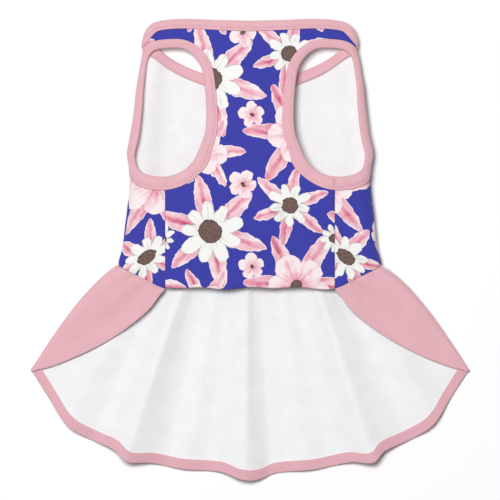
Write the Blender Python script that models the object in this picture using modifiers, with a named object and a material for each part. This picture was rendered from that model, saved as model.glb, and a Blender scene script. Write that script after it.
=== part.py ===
"""Dog dress, laid flat with its belly side up.

A sleeveless knit dress: a belly panel, a back panel that wraps round both sides, bound neck and leg
openings, and a flared skirt sewn round the back of the waist, whose front ends fold over the sides.

The body is drawn on its flat pattern and then wrapped round the lying body. A pattern place is
(along, y): along is the cloth's distance from the side fold, negative on the belly side and positive on
the back, and y is the height on the dress. X runs across the dress, +Y to the neck and +Z up.
"""

import math

import bmesh
import bpy
from mathutils import Vector

MM = 0.001

# Driving sizes of the body
BODY_LENGTH = 230.5 * MM
WAIST_HALF_WIDTH = 112.7 * MM
BODY_HEIGHT = 26.0 * MM
CLOTH_WALL = 1.0 * MM
SEAM_GAP = 0.3 * MM
SIDE_SEAM_REACH = 72.5 * MM
WAIST_RISE = 19.7 * MM

# Driving sizes of the neck and leg openings
NECK_DROP = 55.4 * MM
ARMHOLE_DEPTH = 25.2 * MM
ARMHOLE_LENGTH = 109.8 * MM
ARMHOLE_WIDTH = 60.5 * MM
ARMHOLE_INSET = 8.4 * MM

# Driving sizes of the bindings
NECK_BINDING_WIDTH = 8.8 * MM
ARM_BINDING_TOP = 8.8 * MM
ARM_BINDING_BOTTOM = 11.4 * MM
BINDING_WALL = 0.8 * MM
BINDING_GAP = 0.6 * MM
SEWN_DEPTH = 2.2 * MM

# Driving sizes of the skirt
SKIRT_DROP = 165.3 * MM
HEM_HALF_WIDTH = 188.3 * MM
CORNER_DROP = 70.6 * MM
CORNER_FOLD_RADIUS = 3.2 * MM
TIP_LENGTH = 2.6 * MM
SIDE_FLARE = 6.5 * MM
FOLD_HEIGHT = 12.0 * MM
HEM_WIDTH = 9.0 * MM
HEM_WALL = 1.0 * MM

# Levels worked out from them, with the middle of the dress at y = 0
NECK_Y = (BODY_LENGTH + SKIRT_DROP) / 2
BELLY_EDGE_Y = NECK_Y - BODY_LENGTH
HEM_Y = BELLY_EDGE_Y - SKIRT_DROP
CORNER_Y = BELLY_EDGE_Y - CORNER_DROP
ARMHOLE_TOP_Y = NECK_Y - ARMHOLE_DEPTH
ARMHOLE_BOTTOM_Y = ARMHOLE_TOP_Y - ARMHOLE_LENGTH
YOKE_Y = ARMHOLE_BOTTOM_Y - 0.21 * (ARMHOLE_BOTTOM_Y - BELLY_EDGE_Y)

# Lying body: share of the body length down from the neck, share of the waist's half width, share of
# the body height
BODY_SECTIONS = (
    (0.00, 0.805, 0.66),
    (0.14, 0.815, 0.72),
    (0.26, 0.858, 0.86),
    (0.43, 0.900, 0.97),
    (0.50, 0.922, 1.00),
    (0.56, 0.908, 1.00),
    (0.73, 0.938, 0.96),
    (0.85, 0.968, 0.86),
    (0.91, 1.000, 0.80),
    (1.00, 1.010, 0.74),
)

# Shares of the height that make up a section: the side fold's level, its turn and the crown over it
FOLD_LEVEL = 0.42
CROWN = 0.22
FOLD_TURN = 0.44

# Neck edge: share of the half girth from the side fold, belly centre -1 to back centre 1, and share
# of the neck drop
NECK_EDGE = (
    (-1.000, 0.030),
    (-0.680, 0.016),
    (-0.420, 0.000),
    (-0.240, 0.018),
    (-0.131, 0.062),
    (-0.068, 0.150),
    (0.000, 0.290),
    (0.080, 0.385),
    (0.182, 0.475),
    (0.290, 0.600),
    (0.420, 0.718),
    (0.600, 0.843),
    (0.800, 0.945),
    (1.000, 1.000),
)

# Waist seam: share of the half girth from the side fold, and share of the waist rise
WAIST_SEAM = (
    (-0.400, 1.040),
    (-0.330, 0.880),
    (-0.200, 0.480),
    (0.000, 0.000),
    (0.300, -0.140),
    (0.650, 0.020),
    (1.000, 0.100),
)

# Leg opening, from its top towards the belly centre and round: share of its width from the side fold,
# share of its length from its top
ARMHOLE_EDGE = (
    (0.290, 0.000),
    (0.500, 0.006),
    (0.670, 0.065),
    (0.825, 0.180),
    (0.940, 0.370),
    (1.000, 0.595),
    (0.980, 0.735),
    (0.913, 0.850),
    (0.707, 0.957),
    (0.484, 1.000),
    (0.228, 0.988),
    (0.065, 0.937),
    (0.044, 0.867),
    (0.070, 0.727),
    (0.066, 0.493),
    (0.026, 0.260),
    (0.000, 0.104),
    (0.093, 0.022),
)

# Rows of the leg opening's table where it turns near the side fold
ARM_TURN_ROWS = (9, 10, 11, 15, 16, 17)

# Places on the leg opening, counted in rows of its table, that face the corners of the cloth round it
FACES_SIDE_SEAM = 9.1
FACES_BELLY_EDGE = 7.3
FACES_BELLY_NECK = 1.6
FACES_SHOULDER = -1.7
FACES_BACK_YOKE = -6.8

# Front edge of the skirt's folded end, by share of its length: share of the way out from its tip to the
# corner, share of the way down
FLAP_EDGE = (
    (0.000, 0.000, 0.000),
    (0.036, 0.030, 0.050),
    (0.151, 0.110, 0.229),
    (0.348, 0.290, 0.476),
    (0.509, 0.450, 0.651),
    (0.731, 0.690, 0.844),
    (0.917, 0.900, 0.976),
    (1.000, 1.000, 1.000),
)

# Hem from the skirt's corner to the back centre, by share of its length: share of the hem's half width
# and share of the drop from the corner to the lowest point, on the left and on the right
HEM_EDGE = (
    (0.000, 1.000, 0.000, 1.000, 0.000),
    (0.135, 0.914, 0.271, 0.914, 0.262),
    (0.261, 0.828, 0.515, 0.836, 0.500),
    (0.372, 0.712, 0.642, 0.734, 0.627),
    (0.457, 0.618, 0.723, 0.614, 0.733),
    (0.522, 0.562, 0.826, 0.564, 0.834),
    (0.608, 0.459, 0.836, 0.467, 0.830),
    (0.732, 0.314, 0.893, 0.300, 0.897),
    (0.886, 0.130, 0.922, 0.120, 0.930),
    (0.962, 0.045, 0.985, 0.045, 0.985),
    (1.000, 0.000, 1.000, 0.000, 1.000),
)

# Folds of the skirt: crest on the hem from the left corner -1 to the right corner 1, share of the half
# hem that each slope takes, share of the fold height
SKIRT_FOLDS = (
    (-0.700, 0.150, 0.075, 0.62),
    (-0.448, 0.160, 0.095, 1.00),
    (-0.240, 0.100, 0.110, 0.30),
    (-0.015, 0.130, 0.060, 0.80),
    (0.220, 0.110, 0.100, 0.28),
    (0.440, 0.095, 0.160, 0.96),
    (0.700, 0.075, 0.150, 0.60),
)

# Parts of the mesh
EDGE_STEPS = 7
BELLY_YOKE_STEPS = 7
BELLY_CENTRE_STEPS = 10
BELLY_NECK_STEPS = 16
BACK_SIDE_STEPS = 11
TURN_STEPS = 6
SIDE_STEPS = 3
BACK_STEPS = 5
LOWER_STEPS = 5
ARM_EDGE_STEPS = 2
ARM_TURN_STEPS = 3
NECK_BINDING_STEPS = 26
FLAP_STEPS = 5
SKIRT_STEPS = 21
DROP_STEPS = 8

# Colours of the cloths
PRINT_BLUE = (0.040, 0.045, 0.352, 1.0)
TRIM_PINK = (0.815, 0.462, 0.515, 1.0)


def mix(first, second, share):
    """Value or vector part of the way from the first to the second."""
    return first + (second - first) * share


def eased(share):
    """Share between 0 and 1 that starts and ends gently."""
    share = min(max(share, 0.0), 1.0)
    return share * share * (3.0 - 2.0 * share)


def hermite(start, end, start_slope, end_slope, share):
    """Cubic from start to end, with slopes given over the whole step."""
    rest = 1.0 - share
    return (
        start * rest * rest * (1.0 + 2.0 * share)
        + start_slope * share * rest * rest
        + end * share * share * (3.0 - 2.0 * share)
        - end_slope * share * share * rest
    )


def table_slope(rows, index, column):
    """Slope of a column at a row, from the rows beside it."""
    before = rows[max(index - 1, 0)]
    after = rows[min(index + 1, len(rows) - 1)]
    return (after[column] - before[column]) / (after[0] - before[0])


def read_table(rows, place, column):
    """Smooth value of a column where the first column equals place."""
    place = min(max(place, rows[0][0]), rows[-1][0])
    index = 0
    while index < len(rows) - 2 and rows[index + 1][0] < place:
        index += 1
    step = rows[index + 1][0] - rows[index][0]
    return hermite(
        rows[index][column],
        rows[index + 1][column],
        table_slope(rows, index, column) * step,
        table_slope(rows, index + 1, column) * step,
        (place - rows[index][0]) / step,
    )


def read_loop(rows, place, column):
    """Smooth value of a column of a closed table, at place counted in rows."""
    count = len(rows)
    index = math.floor(place)
    values = [rows[(index + step) % count][column] for step in (-1, 0, 1, 2)]
    start_slope = (values[2] - values[0]) / 2
    end_slope = (values[3] - values[1]) / 2
    return hermite(values[1], values[2], start_slope, end_slope, place - index)


# The lying body

def half_width(y):
    return WAIST_HALF_WIDTH * read_table(BODY_SECTIONS, (NECK_Y - y) / BODY_LENGTH, 1)


def body_height(y):
    return BODY_HEIGHT * read_table(BODY_SECTIONS, (NECK_Y - y) / BODY_LENGTH, 2)


def turn_radius(y):
    """Reach of the rounded side fold in from the body's side."""
    return FOLD_TURN * body_height(y)


def turn_length(y):
    """Cloth from the side fold to where the panel lies flat."""
    return turn_radius(y) * math.pi / 2


def half_girth(y):
    """Cloth from the side fold to the belly centre, or to the back centre."""
    return half_width(y) - turn_radius(y) + turn_length(y)


def neck_edge(along, y):
    """Height of the finished neck edge above a pattern place."""
    return NECK_Y - NECK_DROP * read_table(NECK_EDGE, along / half_girth(y), 1)


def body_surface(along, y):
    """Outer face of the body at a pattern place."""
    width = half_width(y)
    height = body_height(y)
    radius = turn_radius(y)
    turn = min(abs(along) / radius, math.pi / 2)
    flat = max(abs(along) - turn_length(y), 0.0)
    x = width - radius + radius * math.cos(turn) - flat
    level = FOLD_LEVEL * height
    if along <= 0.0:
        rise = (1.0 - FOLD_LEVEL - CROWN) * height
        crown = CROWN * height * (1.0 - (x / width) ** 2)
        return Vector((x, y, level + rise * math.sin(turn) + crown))
    under_binding = eased(1.0 - (neck_edge(along, y) - y - NECK_BINDING_WIDTH) / (3 * NECK_BINDING_WIDTH))
    lift = (BINDING_WALL + BINDING_GAP) * under_binding
    return Vector((x, y, mix(level, lift, math.sin(turn))))


def body_point(along, y, outward=0.0):
    """Point at a distance out from the body's outer face."""
    point = body_surface(along, y)
    if outward == 0.0:
        return point
    probe = 0.2 * MM
    across = body_surface(along + probe, y) - body_surface(along - probe, y)
    up = body_surface(along, y + probe) - body_surface(along, y - probe)
    if abs(abs(along) - half_girth(y)) < probe:
        across = Vector((-math.copysign(1.0, along), 0.0, 0.0))
        up.x = 0.0
    return point + across.cross(up).normalized() * outward


def waist_seam(along):
    """Height of the seam between the back panel and the skirt."""
    fold_y = BELLY_EDGE_Y + WAIST_RISE
    girth = half_girth(fold_y)
    return fold_y - WAIST_RISE * read_table(WAIST_SEAM, along / girth, 1)


# Edges of the openings on the pattern

def armhole_edge(place, offset=0.0):
    """Pattern place on the leg opening, or at an offset out into the cloth round it."""

    def edge(at):
        across = read_loop(ARMHOLE_EDGE, at, 0)
        down = read_loop(ARMHOLE_EDGE, at, 1)
        along = -(ARMHOLE_INSET + across * ARMHOLE_WIDTH)
        return Vector((along, ARMHOLE_TOP_Y - down * ARMHOLE_LENGTH))

    tangent = (edge(place + 0.05) - edge(place - 0.05)).normalized()
    return edge(place) + Vector((tangent.y, -tangent.x)) * offset


def arm_binding_width(place):
    """The binding lies narrower at the shoulder, where it is stretched."""
    return mix(ARM_BINDING_TOP, ARM_BINDING_BOTTOM, read_loop(ARMHOLE_EDGE, place, 1))


def neck_place(share, offset=0.0):
    """Pattern place on the neck edge, from the belly centre -1 to the back centre 1."""

    def edge(at):
        y = NECK_Y - NECK_DROP * read_table(NECK_EDGE, at, 1)
        return Vector((at * half_girth(y), y))

    tangent = Vector((1.0, 0.0))
    if abs(share) < 1.0:
        tangent = (edge(share + 0.004) - edge(share - 0.004)).normalized()
    place = edge(share) + Vector((tangent.y, -tangent.x)) * offset
    if abs(share) == 1.0:
        place.x = share * half_girth(place.y)
    return place


# Meshes

def new_object(name, points, faces, collection, material):
    """Object from a list of points and faces, with points that coincide welded."""
    mesh = bpy.data.meshes.new(name)
    mesh.from_pydata([tuple(point) for point in points], [], faces)
    shape = bmesh.new()
    shape.from_mesh(mesh)
    bmesh.ops.remove_doubles(shape, verts=shape.verts, dist=0.01 * MM)
    shape.to_mesh(mesh)
    shape.free()
    mesh.shade_smooth()
    mesh.set_sharp_from_angle(angle=math.radians(50))
    mesh.materials.append(material)
    thing = bpy.data.objects.new(name, mesh)
    collection.objects.link(thing)
    return thing


def add_grid(points, faces, grid):
    """Faces between the rows of a grid of points, wound as grid[a][b], [a + 1][b], [a + 1][b + 1]."""
    start = len(points)
    wide = len(grid[0])
    for row in grid:
        points.extend(row)
    for a in range(len(grid) - 1):
        for b in range(wide - 1):
            corner = start + a * wide + b
            faces.append((corner, corner + wide, corner + wide + 1, corner + 1))


def add_wall(thing, thickness):
    """Thicken an open sheet inwards from its outer face."""
    wall = thing.modifiers.new("Wall", "SOLIDIFY")
    wall.thickness = thickness
    wall.offset = -1.0
    wall.use_rim = True


def add_mirror(thing):
    """Complete a half that is open at the dress's middle."""
    mirror = thing.modifiers.new("Other half", "MIRROR")
    mirror.use_axis = (True, False, False)
    mirror.merge_threshold = 0.05 * MM


def steps(start, end, count):
    """Evenly spaced values from start up to, and not including, end."""
    return [mix(start, end, index / count) for index in range(count)]


def moved_towards(places, others, distance):
    """Each place moved a distance towards the place beside it."""
    return [place + (other - place).normalized() * distance for place, other in zip(places, others)]


def region_place(region, y):
    """Pattern place at a height, for a region border and a share of the way to the next border."""
    border, share = region
    borders = {
        "belly centre": -half_girth(y),
        "side seam": SIDE_SEAM_REACH - half_girth(y),
        "turn in": -turn_length(y),
        "turn out": turn_length(y),
        "back centre": half_girth(y),
    }
    order = list(borders)
    start = borders[order[border]]
    end = borders[order[min(border + 1, len(order) - 1)]]
    return Vector((mix(start, end, share), y))


BELLY_CENTRE, SIDE_SEAM, TURN_IN, TURN_OUT, BACK_CENTRE = range(5)


def rays(openings, outer):
    """Rows of pattern places from the leg opening's sewn edge out to the border round it."""
    fan = []
    for facing, place in zip(openings, outer):
        start = armhole_edge(facing, SEWN_DEPTH)
        fan.append([mix(start, place, index / EDGE_STEPS) for index in range(EDGE_STEPS + 1)])
    return fan


def lower_rows(columns, bottom):
    """Rows of pattern places from the yoke level down to the height that bottom gives a place."""
    rows = []
    for column in columns:
        end_y = bottom(region_place(column, BELLY_EDGE_Y + WAIST_RISE / 2).x)
        levels = [mix(YOKE_Y, end_y, index / LOWER_STEPS) for index in range(LOWER_STEPS + 1)]
        rows.append([region_place(column, y) for y in levels])
    return rows


def place_grids(grids):
    """Points and faces of pattern grids, wrapped round the body."""
    points = []
    faces = []
    for grid in grids:
        add_grid(points, faces, [[body_point(place.x, place.y) for place in row] for row in grid])
    return points, faces


def make_belly_panel(collection, material):
    """Near panel, from the neck to its free edge, between the side and shoulder seams."""
    yoke_columns = [(BELLY_CENTRE, share) for share in steps(1.0, 0.0, BELLY_YOKE_STEPS)]
    outer = [region_place(column, YOKE_Y) for column in yoke_columns]
    neck_y = neck_place(-1.0, SEWN_DEPTH).y
    outer += [region_place((BELLY_CENTRE, 0.0), y) for y in steps(YOKE_Y, neck_y, BELLY_CENTRE_STEPS)]
    outer += [neck_place(share, SEWN_DEPTH) for share in neck_shares()]
    openings = steps(FACES_SIDE_SEAM, FACES_BELLY_EDGE, BELLY_YOKE_STEPS)
    openings += steps(FACES_BELLY_EDGE, FACES_BELLY_NECK, BELLY_CENTRE_STEPS)
    openings += steps(FACES_BELLY_NECK, FACES_SHOULDER, BELLY_NECK_STEPS)
    openings.append(FACES_SHOULDER)
    fan = rays(openings, outer)
    lower = lower_rows(yoke_columns + [(BELLY_CENTRE, 0.0)], lambda along: BELLY_EDGE_Y)
    fan[0] = moved_towards(fan[0], fan[1], SEAM_GAP / 2)
    fan[-1] = moved_towards(fan[-1], fan[-2], SEAM_GAP / 2)
    lower[0] = moved_towards(lower[0], lower[1], SEAM_GAP / 2)
    lower[0][0] = fan[0][-1]
    points, faces = place_grids([fan, lower])
    panel = new_object("belly_panel", points, faces, collection, material)
    add_mirror(panel)
    add_wall(panel, CLOTH_WALL)
    return panel


def shoulder_share():
    """Place on the neck edge where the side fold has turned onto the back: the shoulder seam."""
    level = NECK_Y - NECK_DROP * 0.4
    return turn_length(level) / half_girth(level)


def neck_shares():
    """Places along the belly panel's neck edge, closer together where it turns over the side."""
    shares = []
    for index in range(BELLY_NECK_STEPS + 1):
        rest = 1.0 - index / BELLY_NECK_STEPS
        shares.append(mix(shoulder_share(), -1.0, rest ** 1.8))
    return shares


def side_columns():
    """Columns of the back panel's side, from the flat back round the side fold to the side seam."""
    turn = [(TURN_IN, share) for share in steps(1.0, 0.0, TURN_STEPS)]
    return turn + [(SIDE_SEAM, share) for share in steps(1.0, 0.0, SIDE_STEPS)] + [(SIDE_SEAM, 0.0)]


def make_back_panel(collection, material):
    """Far panel, which wraps round the sides to the side seams and carries the skirt."""
    top = neck_place(shoulder_share(), SEWN_DEPTH)
    side_levels = steps(top.y, YOKE_Y, BACK_SIDE_STEPS) + [YOKE_Y]
    side_line = [Vector((mix(top.x, turn_length(YOKE_Y), index / BACK_SIDE_STEPS), y))
                 for index, y in enumerate(side_levels)]
    outer = side_line[:-1] + [region_place(column, YOKE_Y) for column in side_columns()]
    openings = steps(FACES_SHOULDER, FACES_BACK_YOKE, BACK_SIDE_STEPS)
    around_again = FACES_SIDE_SEAM - len(ARMHOLE_EDGE)
    openings += steps(FACES_BACK_YOKE, around_again, TURN_STEPS + SIDE_STEPS)
    openings.append(around_again)
    fan = rays(openings, outer)

    back = []
    for index, place in enumerate(side_line):
        down = index / BACK_SIDE_STEPS
        row = []
        for step in range(BACK_STEPS + 1):
            share = step / BACK_STEPS
            neck = neck_place(mix(shoulder_share(), 1.0, share), SEWN_DEPTH)
            y = mix(neck.y, YOKE_Y, down)
            top_share = (neck.x - top.x) / (neck_place(1.0, SEWN_DEPTH).x - top.x)
            row.append(Vector((mix(place.x, half_girth(y), mix(top_share, share, down)), y)))
        back.append(row)

    back_columns = [(TURN_OUT, share) for share in steps(1.0, 0.0, BACK_STEPS)]
    lower = lower_rows(back_columns + side_columns(), waist_seam)
    fan[0] = moved_towards(fan[0], fan[1], SEAM_GAP / 2)
    fan[-1] = moved_towards(fan[-1], fan[-2], SEAM_GAP / 2)
    lower[-1] = moved_towards(lower[-1], lower[-2], SEAM_GAP / 2)
    lower[-1][0] = fan[-1][-1]
    back[0][0] = fan[0][-1]
    points, faces = place_grids([fan, back, lower])
    panel = new_object("back_panel", points, faces, collection, material)
    add_mirror(panel)
    add_wall(panel, CLOTH_WALL)
    return panel


def binding_profile(width):
    """Folded strip round a raw edge: distance in from the finished edge, distance out of the cloth."""
    outer_face = BINDING_GAP
    inner_face = -CLOTH_WALL - BINDING_GAP
    turn = BINDING_WALL
    slot = SEWN_DEPTH - BINDING_GAP
    inner = mix(slot, width, 0.33)
    outer = mix(slot, width, 0.67)
    return (
        (width, outer_face),
        (width, outer_face + BINDING_WALL),
        (outer, outer_face + BINDING_WALL),
        (inner, outer_face + BINDING_WALL),
        (turn, outer_face + BINDING_WALL),
        (0.0, -CLOTH_WALL / 2),
        (turn, inner_face - BINDING_WALL),
        (inner, inner_face - BINDING_WALL),
        (outer, inner_face - BINDING_WALL),
        (width, inner_face - BINDING_WALL),
        (width, inner_face),
        (outer, inner_face),
        (inner, inner_face),
        (slot, inner_face),
        (slot, outer_face),
        (inner, outer_face),
        (outer, outer_face),
    )


def add_loop(points, faces, rings, closed):
    """Faces round a tube, from rings of points."""
    start = len(points)
    around = len(rings[0])
    for ring in rings:
        points.extend(ring)
    last = len(rings) if closed else len(rings) - 1
    for a in range(last):
        for b in range(around):
            first = start + a * around
            second = start + (a + 1) % len(rings) * around
            after = (b + 1) % around
            faces.append((first + b, first + after, second + after, second + b))


def arm_binding_places():
    """Places round the leg opening, closer together where it turns near the side fold."""
    places = []
    for row in range(len(ARMHOLE_EDGE)):
        count = ARM_TURN_STEPS if row in ARM_TURN_ROWS else ARM_EDGE_STEPS
        places += steps(row, row + 1, count)
    return places


def make_arm_binding(name, side, collection, material):
    """Closed loop of folded knit round one leg opening."""
    rings = []
    for at in arm_binding_places():
        ring = []
        for inward, outward in binding_profile(arm_binding_width(at)):
            place = armhole_edge(at, inward)
            point = body_point(place.x, place.y, outward)
            point.x *= side
            ring.append(point)
        rings.append(ring)
    if side > 0:
        rings.reverse()
    points = []
    faces = []
    add_loop(points, faces, rings, closed=True)
    return new_object(name, points, faces, collection, material)


def make_neck_binding(collection, material):
    """Closed loop of folded knit round the neck edge, which dips on the back."""
    rings = []
    for index in range(NECK_BINDING_STEPS + 1):
        share = index / NECK_BINDING_STEPS * 2 - 1
        share = mix(share, share ** 3, 0.7)
        ring = []
        for inward, outward in binding_profile(NECK_BINDING_WIDTH):
            place = neck_place(share, inward)
            ring.append(body_point(place.x, place.y, outward))
        rings.append(ring)
    rings.reverse()
    points = []
    faces = []
    add_loop(points, faces, rings, closed=False)
    binding = new_object("neck_binding", points, faces, collection, material)
    add_mirror(binding)
    return binding


# The skirt

def fold_rise(place):
    """Share of the fold height at a place on the hem, from the left corner -1 to the right corner 1."""
    total = 0.0
    for crest, left, right, height in SKIRT_FOLDS:
        reach = left if place < crest else right
        total += height * eased(1.0 - abs(place - crest) / reach)
    return total


def skirt_columns(side):
    """Rows of the skirt's rays on one side: waist place, hem point, share of the side flare and the
    place on the hem, from the tip of the folded end to the back centre."""
    fold_y = BELLY_EDGE_Y + WAIST_RISE
    turn = turn_length(fold_y)
    seam = SIDE_SEAM_REACH - half_girth(BELLY_EDGE_Y) + SEAM_GAP
    tip = body_point(seam, waist_seam(seam))
    tip.x += TIP_LENGTH * 0.4
    tip.y -= TIP_LENGTH * 0.9
    corner = Vector((HEM_HALF_WIDTH, CORNER_Y, CORNER_FOLD_RADIUS))
    edge_out = Vector((corner.x - half_width(fold_y), corner.y - fold_y)).normalized()
    outwards = Vector((-edge_out.y, edge_out.x, 0.0))
    columns = []
    for index in range(FLAP_STEPS):
        share = index / FLAP_STEPS
        x = mix(tip.x, corner.x - CORNER_FOLD_RADIUS, read_table(FLAP_EDGE, share, 1))
        y = mix(tip.y, corner.y, read_table(FLAP_EDGE, share, 2))
        z = mix(2 * CORNER_FOLD_RADIUS, tip.z, (1.0 - share) ** 1.4)
        columns.append((mix(seam, -turn, share), Vector((x, y, z)), share * share, 1.0))
    for index in range(TURN_STEPS + 1):
        share = index / TURN_STEPS
        angle = mix(math.pi / 2, -math.pi / 2, share)
        reach = CORNER_FOLD_RADIUS * (math.cos(angle) - 1.0)
        end = corner + outwards * reach + Vector((0.0, 0.0, CORNER_FOLD_RADIUS * math.sin(angle)))
        columns.append((mix(-turn, turn, share), end, 1.0, 1.0))
    out_column = 1 if side < 0 else 3
    for index in range(1, SKIRT_STEPS + 1):
        share = index / SKIRT_STEPS
        x = (HEM_HALF_WIDTH - CORNER_FOLD_RADIUS) * read_table(HEM_EDGE, share, out_column)
        y = mix(CORNER_Y, HEM_Y, read_table(HEM_EDGE, share, out_column + 1))
        along = mix(turn, half_girth(fold_y), share)
        columns.append((along, Vector((x, y, 0.0)), (1.0 - share) ** 4, 1.0 - share))
    return columns


def skirt_point(column, side, share):
    """Point of the skirt's outer face on a ray, at a share of the way from the waist to the hem."""
    along, end, flare, place = column
    start = body_point(along, waist_seam(along) - SEAM_GAP)
    point = mix(start, end, share)
    bulge = SIDE_FLARE * math.sin(math.pi * share ** 0.7) * flare
    point += Vector((0.765, 0.643, 0.0)) * bulge
    if along > 0.0:
        point.z += FOLD_HEIGHT * fold_rise(place * side) * share ** 0.8 * (1.0 - flare)
    point.x *= side
    return point


def skirt_rays():
    """All rays of the skirt in order, from the right tip round the back to the left tip."""
    right = [(column, 1) for column in skirt_columns(1)]
    left = [(column, -1) for column in skirt_columns(-1)]
    return right + left[-2::-1]


def make_skirt(collection, material):
    """Crescent sewn round the back of the waist, whose front ends fold over the sides."""
    grid = []
    for column, side in skirt_rays():
        grid.append([skirt_point(column, side, index / DROP_STEPS) for index in range(DROP_STEPS + 1)])
    points = []
    faces = []
    add_grid(points, faces, grid)
    faces = [tuple(reversed(face)) for face in faces]
    skirt = new_object("skirt", points, faces, collection, material)
    add_wall(skirt, CLOTH_WALL)
    return skirt


def make_skirt_hem(collection, material):
    """Edge of the skirt, turned up onto its inner face from tip to tip."""
    all_rays = skirt_rays()
    grid = []
    for index, (column, side) in enumerate(all_rays):
        ray_length = (skirt_point(column, side, 1.0) - skirt_point(column, side, 0.0)).length
        width = min(HEM_WIDTH, 0.6 * ray_length)
        start = 1.0 - width / ray_length
        end = 1.0 - SEAM_GAP / ray_length
        before = all_rays[max(index - 1, 0)]
        after = all_rays[min(index + 1, len(all_rays) - 1)]
        row = []
        for share in (start, mix(start, end, 0.5), end):
            across = skirt_point(*after, share) - skirt_point(*before, share)
            down = skirt_point(column, side, share) - skirt_point(column, side, share - 0.02)
            inwards = across.cross(down).normalized()
            row.append(skirt_point(column, side, share) + inwards * (CLOTH_WALL + SEAM_GAP))
        grid.append(row)
    points = []
    faces = []
    add_grid(points, faces, grid)
    faces = [tuple(reversed(face)) for face in faces]
    hem = new_object("skirt_hem", points, faces, collection, material)
    add_wall(hem, HEM_WALL)
    return hem


def cloth_material(name, colour):
    """Matt knit of one colour."""
    material = bpy.data.materials.new(name)
    material.use_nodes = True
    shader = material.node_tree.nodes["Principled BSDF"]
    shader.inputs["Base Color"].default_value = colour
    shader.inputs["Roughness"].default_value = 0.85
    shader.inputs["Metallic"].default_value = 0.0
    return material


def main():
    for thing in list(bpy.data.objects):
        bpy.data.objects.remove(thing, do_unlink=True)
    dress = bpy.data.collections.new("dog_dress")
    bpy.context.scene.collection.children.link(dress)
    make_belly_panel(dress, cloth_material("belly_print", PRINT_BLUE))
    make_back_panel(dress, cloth_material("back_print", PRINT_BLUE))
    make_neck_binding(dress, cloth_material("neck_trim", TRIM_PINK))
    make_arm_binding("arm_binding_left", -1, dress, cloth_material("left_arm_trim", TRIM_PINK))
    make_arm_binding("arm_binding_right", 1, dress, cloth_material("right_arm_trim", TRIM_PINK))
    make_skirt(dress, cloth_material("skirt_knit", TRIM_PINK))
    make_skirt_hem(dress, cloth_material("hem_knit", TRIM_PINK))


main()
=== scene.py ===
"""Looks of a dog dress in printed and pink knit, laid flat with its belly side up.

The body is drawn on its flat pattern and then wrapped round the lying body. A pattern place is
(along, y): along is the cloth's distance from the side fold, negative on the belly side and positive on
the back, and y is the height on the dress. X runs across the dress, +Y to the neck and +Z up.
"""

import math

import bmesh
import bpy
from mathutils import Matrix, Vector, noise


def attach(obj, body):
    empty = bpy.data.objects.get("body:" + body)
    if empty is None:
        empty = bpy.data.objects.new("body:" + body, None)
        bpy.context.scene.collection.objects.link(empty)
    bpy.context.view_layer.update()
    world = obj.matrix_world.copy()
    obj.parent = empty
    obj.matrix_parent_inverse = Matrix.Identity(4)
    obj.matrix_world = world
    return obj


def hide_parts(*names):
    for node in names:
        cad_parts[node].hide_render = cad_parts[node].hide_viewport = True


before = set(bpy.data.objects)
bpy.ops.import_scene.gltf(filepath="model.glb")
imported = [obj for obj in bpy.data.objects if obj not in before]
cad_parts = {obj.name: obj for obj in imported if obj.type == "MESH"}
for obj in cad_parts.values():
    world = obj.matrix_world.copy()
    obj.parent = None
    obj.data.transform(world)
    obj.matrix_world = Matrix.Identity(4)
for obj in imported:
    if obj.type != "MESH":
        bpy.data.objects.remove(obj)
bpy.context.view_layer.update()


# Belly panel. The near panel of the body: a piece of fine printed jersey, white on its back, narrow
# between the two leg openings. It is sewn to the back panel at the shoulders and down the sides, and its
# lower edge is free, turned in and stitched.

MM = 0.001
BODY_LENGTH = 230.5 * MM
WAIST_HALF_WIDTH = 112.7 * MM
BODY_HEIGHT = 26.0 * MM
CLOTH_WALL = 1.0 * MM
SEAM_GAP = 0.3 * MM
SIDE_SEAM_REACH = 72.5 * MM
WAIST_RISE = 19.7 * MM
SKIRT_DROP = 165.3 * MM
NECK_DROP = 55.4 * MM
NECK_Y = (BODY_LENGTH + SKIRT_DROP) / 2
BELLY_EDGE_Y = NECK_Y - BODY_LENGTH

# Share of the body length down from the neck, share of the waist's half width, share of the body height
BODY_SECTIONS = (
    (0.00, 0.805, 0.66),
    (0.14, 0.815, 0.72),
    (0.26, 0.858, 0.86),
    (0.43, 0.900, 0.97),
    (0.50, 0.922, 1.00),
    (0.56, 0.908, 1.00),
    (0.73, 0.938, 0.96),
    (0.85, 0.968, 0.86),
    (0.91, 1.000, 0.80),
    (1.00, 1.010, 0.74),
)

# Shares of the body height: level of the side fold, crown of the belly, radius of the fold
FOLD_LEVEL = 0.42
CROWN = 0.22
FOLD_TURN = 0.44

# Rise of the back's cloth beside the side fold, and how far in it reaches
SIDE_LIFT = 6.5 * MM
SIDE_LIFT_REACH = 12.0 * MM

# Share of the half girth from the side fold, and share of the neck drop
NECK_EDGE = (
    (-1.000, 0.030),
    (-0.680, 0.016),
    (-0.420, 0.000),
    (-0.240, 0.018),
    (-0.131, 0.062),
    (-0.068, 0.150),
    (0.000, 0.290),
    (0.080, 0.385),
    (0.182, 0.475),
    (0.290, 0.600),
    (0.420, 0.718),
    (0.600, 0.843),
    (0.800, 0.945),
    (1.000, 1.000),
)

# Share of the half girth from the side fold, and share of the waist rise
WAIST_SEAM = (
    (-0.400, 1.040),
    (-0.330, 0.880),
    (-0.200, 0.480),
    (0.000, 0.000),
    (0.300, -0.140),
    (0.650, 0.020),
    (1.000, 0.100),
)

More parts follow.
